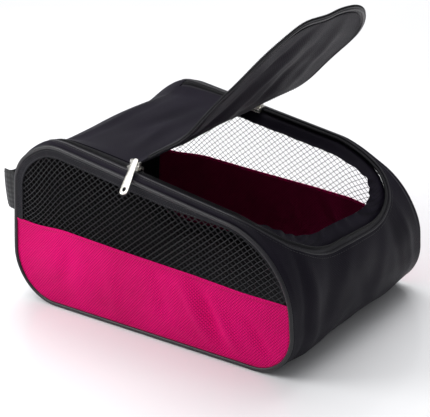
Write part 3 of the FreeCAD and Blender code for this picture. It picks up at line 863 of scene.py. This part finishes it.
def side_regions(inset):
    """The side outline split at the seam: lower part and upper part, each from heel to toe."""
    loop = outline_table(0.0, inset)[:-1]
    low = loop[:, 1] < seam_z(loop[:, 0])
    lower, upper = kept_run(low, loop), kept_run(~low, loop)[::-1]
    heel, toe = lower[0].copy(), lower[-1].copy()
    heel[1], toe[1] = seam_z(heel[0]), seam_z(toe[0])
    return (np.concatenate([heel[None], part, toe[None]]) for part in (lower, upper))


def sideways(sign, path):
    """Unit vectors that point out of a side, one for each point of path."""
    return np.broadcast_to(np.array((0.0, float(sign), 0.0)), path.shape)


def round_side(inset, y, sign):
    """Loop round a side, with the vectors that point out of the outline and sideways."""
    line = outline_table(0.0, inset)[:-1]
    path = settle(np.stack([line[:, 0], np.full(len(line), sign * y), line[:, 1]], 1))
    up = sideways(sign, path)
    return path, np.cross(directions(path, True), up) * -sign, up


def even(path, count):
    run = np.concatenate([[0], np.cumsum(np.linalg.norm(np.diff(path, axis=0), axis=1))])
    at = np.linspace(0, run[-1], count)
    return np.stack([np.interp(at, run, path[:, k]) for k in (0, 1)], 1)


def strands(polygon, angle, spacing):
    """Straight lines at an angle, clipped to a convex outline: start and end of each."""
    direction = np.array((math.cos(angle), math.sin(angle)))
    normal = np.array((-direction[1], direction[0]))
    across_ = polygon @ normal
    ends = []
    for offset in np.arange(across_.min() + spacing / 2, across_.max(), spacing):
        level = across_ - offset
        cross = np.flatnonzero(level * np.roll(level, -1) < 0)
        if len(cross) != 2:
            continue
        hits = []
        for i in cross:
            j = (i + 1) % len(polygon)
            t = level[i] / (level[i] - level[j])
            hits.append(polygon[i] * (1 - t) + polygon[j] * t)
        if np.linalg.norm(hits[0] - hits[1]) > spacing:
            ends.append(hits)
    return ends


def net_mesh(name, polygon, sign, width=0.36):
    """Open knitted net: two crossing sets of threads that weave over and under each other."""
    verts, faces, base = [], [], 0
    for k, (angle, spacing) in enumerate(((37.7, 4.4), (-41.0, 4.7))):
        for start, end in strands(polygon, math.radians(angle), spacing):
            length = np.linalg.norm(end - start)
            n = max(3, int(length / 3.4))
            t = np.linspace(0, 1, n)[:, None]
            p = start * (1 - t) + end * t
            p = p + 0.16 * np.stack([np.sin(p[:, 1] * 1.1), np.cos(p[:, 0] * 1.3)], 1)
            lift = 0.16 * (1 if k else -1) * np.cos(np.arange(n) * math.pi)
            centre = side_point(p[:, 0], p[:, 1], sign, lift - 0.35)
            up = sideways(sign, centre)
            side = np.cross(directions(centre), up)
            side /= np.linalg.norm(side, axis=1)[:, None]
            grid = sweep(centre, side, up, circle(width, 6, 0.8))
            idx = np.arange(n * 6).reshape(n, 6) + base
            faces += quads(np.concatenate([idx, idx[:, :1]], 1)).tolist()
            faces += [idx[0, ::-1].tolist(), idx[-1].tolist()]
            verts.append(grid.reshape(-1, 3))
            base += n * 6
    verts = np.concatenate(verts)
    return new_mesh(name, verts, faces, (NET,), None, verts[:, (0, 2, 1)])


def make_side(side, sign):
    lower, upper = side_regions(3.4)
    count, rows = 190, 60
    top = np.stack([np.linspace(lower[0, 0], lower[-1, 0], count)] * 2, 1)
    top[:, 1] = seam_z(top[:, 0]) - 0.1
    bottom = even(lower, count)
    x, z = between(top, bottom, np.linspace(0, 1, rows) ** 1.1)
    # The lower panel's inner face takes the darker copy of the pink: painted shade inside the bag.
    obj = shell(side + "_lower_cloth", side_point(x, z, sign), side_point(x, z, sign, -1.0), (PINK, PINK_INSIDE_SHADE),
                np.stack([x, z], -1))
    goes(obj, "bag", (side + "_lower_panel",))

    polygon = even(np.concatenate([upper, upper[:1]]), 260)[:-1]
    net = net_mesh(side + "_net", polygon, sign, 0.36 if sign < 0 else 0.28)
    goes(net, "bag", (side + "_net_panel",))

    x = np.linspace(lower[0, 0] + 1, lower[-1, 0] - 1, 200)
    seam = side_point(x, seam_z(x) + 0.9, sign, 0.1)
    up = sideways(sign, seam)
    grid = sweep(seam, np.cross(directions(seam), up), up, slab(2.2, 0.9))
    goes(rod(side + "_seam_fold", [(grid, False)], (PINK,)), "bag")
    lines = [(side_point(x, seam_z(x) - 2.2, sign, 0.12), up)]
    stitches(side + "_seam_stitching", lines, "bag", PINK_THREAD)

    loop_out, loop_in = outline_table(0.0, 3.6)[:-1], outline_table(0.0, 12.0)[:-1]
    keep = (loop_in[:, 1] > seam_z(loop_in[:, 0]) + 1.5) & (loop_in[:, 0] < TOE_SEAM_X + 28)
    loop_out, loop_in = kept_run(keep, loop_out), kept_run(keep, loop_in)
    narrow = 1 - 0.85 * smooth((loop_out[:, :1] - 20) / 110.0)
    loop_in = loop_out + (loop_in - loop_out) * narrow
    t = np.linspace(0, 1, 7)
    x, z = between(loop_out, loop_in, t)
    run = np.concatenate([[0], np.cumsum(np.linalg.norm(np.diff(loop_out, axis=0), axis=1))])
    fray = 0.25 * ripple(run[:, None], t[None] * 8, 7, 3)
    flat = np.stack([np.broadcast_to(run[:, None], x.shape), np.broadcast_to(t * 9, x.shape)], -1)
    obj = shell(side + "_edge_strip_cloth", side_point(x, z, sign, 0.75 + fray),
                side_point(x, z, sign, 0.1), (STRIP,), flat)
    goes(obj, "bag", (side + "_net_edge_strip",))
    lines = []
    for place in (0.2, 0.82):
        p = (loop_out * (1 - place) + loop_in * place)[loop_out[:, 0] < 70]
        path = side_point(p[:, 0], p[:, 1], sign, 0.85)
        lines.append((path, sideways(sign, path)))
    stitches(side + "_strip_stitching", lines, "bag")

    for name, inset, y, profile, material, node, slot in (
            ("_piping_cover", 2.2, 107.0, circle(2.0, 14), PIPING, "_piping", "piping_cord"),
            ("_binding_tape", 6.2, 104.9, slab(5.4, 1.1), BINDING, "_seam_binding", "seam_tape")):
        grid = sweep(*round_side(inset, y, sign), profile)
        goes(rod(side + name, [(grid, True)], (material,), 2.0), "bag", (side + node,))

    line = outline_table(0.0, 5.4)[:-1]
    path = kept_run(line[:, 1] < seam_z(line[:, 0]), side_point(line[:, 0], line[:, 1], sign, 0.1))
    stitches(side + "_edge_stitching", [(path, sideways(sign, path))], "bag", PINK_THREAD)


# ---- handle
def make_handle():
    """Webbing grab handle behind the heel, bowed and leaning a little, sewn in at both sides."""
    low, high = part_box("heel_handle")
    corner, back, half = 19.0, low[0] / MM - 6.0, 101.5
    middle_z, width = (low[2] + high[2]) / 2 / MM, (high[2] - low[2]) / MM
    a = np.linspace(0, math.pi / 2, 14)
    turn_x, turn_y = back + corner - corner * np.sin(a), half - corner + corner * np.cos(a)
    run_y = np.linspace(half - corner, -(half - corner), 60)[1:-1]
    start_x = np.linspace(-158.0, back + corner, 6)[:-1]
    x = np.concatenate([start_x, turn_x, np.full(58, back), turn_x[::-1], start_x[::-1]])
    y = np.concatenate([np.full(5, half), turn_y, run_y, -turn_y[::-1], np.full(5, -half)])
    mid = 1 - np.abs(y) / half
    sag = 10.0 * smooth((half - np.abs(y)) / 22.0)
    path = np.stack([x + 1.2 * mid * np.cos(y / 33.0), y, np.full(len(x), middle_z) - sag], 1)
    along = directions(path)
    up = np.stack([0.10 * mid, 0 * mid, np.ones(len(mid))], 1)
    up /= np.linalg.norm(up, axis=1)[:, None]
    out = np.cross(along, up)
    grid = sweep(path, up, out, slab(width, 1.8, 0.8, 15))
    goes(rod("handle_webbing", [(grid, False)], (WEB,), 6.0), "bag", ("heel_handle",))
    lines = []
    for k in (-0.42, 0.42):
        for face in (-1, 1):
            line = path + up * (k * width) + out * (1.1 * face)
            lines.append((line[3:-3], face * out[3:-3]))
    stitches("handle_stitching", lines, "bag")


# ---- pull tabs
def make_tab(side, sign):
    """Cast pull tab: a flat tongue that widens to a rounded end with a hole, turned a little to the toe."""
    droop, yaw, length = math.radians(34), math.radians(15 if side == "near" else -28), 37.0
    bar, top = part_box(side + "_slider_bridge"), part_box(side + "_pull_tab")[1][2]
    pivot = np.array([(bar[0][0] + bar[1][0]) / 2, (bar[0][1] + bar[1][1]) / 2, top]) / MM - (0, 0, 0.9)
    ahead = np.array([math.sin(yaw) * math.cos(droop), sign * math.cos(yaw) * math.cos(droop),
                      -math.sin(droop)])
    level = np.array([math.cos(yaw), -sign * math.sin(yaw), 0.0])
    up = np.cross(level, ahead)
    up *= np.sign(up[2])
    n = 44
    t = np.linspace(0, 1, n)
    along = -1.6 + (length + 1.6) * t
    half = 2.9 + 0.9 * smooth((along - 8) / 20)
    half *= np.sqrt(np.clip(1 - ((along - (length - 4.0)) / 4.0).clip(0, 1) ** 2, 0.0, 1)) * 0.98 + 0.02
    half *= np.sqrt(np.clip(1 - ((0.4 - along) / 2.0).clip(0, 1) ** 2, 0.12, 1))
    hole = 1.75 * np.sqrt(np.clip(1 - ((along - (length - 5.4)) / 2.5) ** 2, 0, 1))
    span = np.linspace(0, 1, 5)[None]
    tongue = hole[:, None] * (1 - span) + half[:, None] * span
    work, thick = bmesh.new(), 0.62
    for grid in (tongue, -tongue):
        soft = 1 - 0.35 * (np.abs(grid) / half[:, None]) ** 4
        layers = []
        for k in (1, -1):
            p = (pivot + along[:, None, None] * ahead + grid[..., None] * level
                 + (k * thick * soft)[..., None] * up) * MM
            layers.append([[work.verts.new(v) for v in line] for line in p])
        for layer in layers:
            for i in range(n - 1):
                for j in range(4):
                    work.faces.new((layer[i][j], layer[i + 1][j], layer[i + 1][j + 1], layer[i][j + 1]))
        for i in range(n - 1):
            for j in (0, 4):
                work.faces.new((layers[0][i][j], layers[0][i + 1][j], layers[1][i + 1][j], layers[1][i][j]))
        for i in (0, n - 1):
            for j in range(4):
                work.faces.new((layers[0][i][j], layers[0][i][j + 1], layers[1][i][j + 1], layers[1][i][j]))
    bmesh.ops.recalc_face_normals(work, faces=work.faces)
    mesh = bpy.data.meshes.new(side + "_tab")
    work.to_mesh(mesh)
    work.free()
    mesh.materials.append(METAL)
    goes(in_scene(side + "_tab_plate", mesh, 35), side + "_tab", (side + "_pull_tab",))


# ---- carried-over CAD nodes
def dress(node, material, bevel):
    """Gives a CAD node its material and softly rounded edges."""
    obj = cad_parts[node]
    obj.data.materials.clear()
    obj.data.materials.append(material)
    modifier = obj.modifiers.new("soft_edges", "BEVEL")
    modifier.width, modifier.segments, modifier.limit_method = bevel * MM, 2, "ANGLE"
    modifier.angle_limit = math.radians(30)


def make_studio():
    """Pale glossy floor and soft light."""
    bpy.ops.mesh.primitive_plane_add(size=14.0, location=(0, 0, 0))
    floor = bpy.context.active_object
    floor.name = "floor"
    m = Maker("floor")
    tone = m.noise(m.place(), 1.2, 2.0)
    colour = m.ramp(tone, [(0.3, (0.80, 0.80, 0.815)), (0.7, (0.86, 0.86, 0.87))])
    floor.data.materials.append(m.finish(colour, 0.13, Specular_IOR_Level=0.5))

    world = bpy.context.scene.world = bpy.data.worlds.new("studio")
    world.use_nodes = True
    sky = world.node_tree.nodes["Background"].inputs
    sky["Color"].default_value, sky["Strength"].default_value = (0.97, 0.98, 1.0, 1), 0.40
    for name, place, size, power in (
            ("key", (-0.66, -0.56, 0.56), 0.5, 6.2), ("top", (-0.1, -0.2, 2.4), 2.2, 24),
            ("back", (-1.1, 2.0, 3.2), 3.0, 118)):
        light = bpy.data.lights.new(name, "AREA")
        light.energy, light.size = power, size
        obj = bpy.data.objects.new(name, light)
        obj.location = place
        obj.rotation_euler = (Vector((0.0, 0.0, 0.08)) - Vector(place)).to_track_quat("-Z", "Y").to_euler()
        obj.visible_camera = False
        obj.visible_glossy = name != "back"
        bpy.context.scene.collection.objects.link(obj)
    bpy.context.scene.view_settings.view_transform = "Standard"


def make_camera():
    azimuth, elevation, roll = (math.radians(v) for v in (38.75, 23.34, -3.52))
    back = Vector((math.sin(azimuth) * math.cos(elevation), -math.cos(azimuth) * math.cos(elevation),
                   math.sin(elevation)))
    right = Vector((0, 0, 1)).cross(back).normalized()
    up = back.cross(right)
    target = Vector((0, 0, 80)) + right * 1.32 + up * 8.39
    turned = right * math.cos(roll) + up * math.sin(roll)
    up = up * math.cos(roll) - right * math.sin(roll)
    camera = bpy.data.objects.new("camera", bpy.data.cameras.new("camera"))
    camera.data.sensor_width, camera.data.lens = 36.0, 1456.5 * 36.0 / 430.0
    camera.data.clip_start, camera.data.clip_end = 0.05, 40.0
    place = (target + back * 1400.1) * MM
    turn = Matrix((turned, up, back)).transposed().to_4x4()
    camera.matrix_world = Matrix.Translation(place) @ turn
    bpy.context.scene.collection.objects.link(camera)
    bpy.context.scene.camera = camera


make_gusset()
make_zip()
make_facing()
make_lid()
make_side("near", -1)
make_side("far", 1)
make_handle()
for side_name in ("near", "far"):
    make_tab(side_name, -1 if side_name == "near" else 1)
    for metal_node in ("_slider", "_slider_bridge"):
        dress(side_name + metal_node, METAL, 0.22)
dress("base_board", BOARD, 0.4)
make_studio()
make_camera()
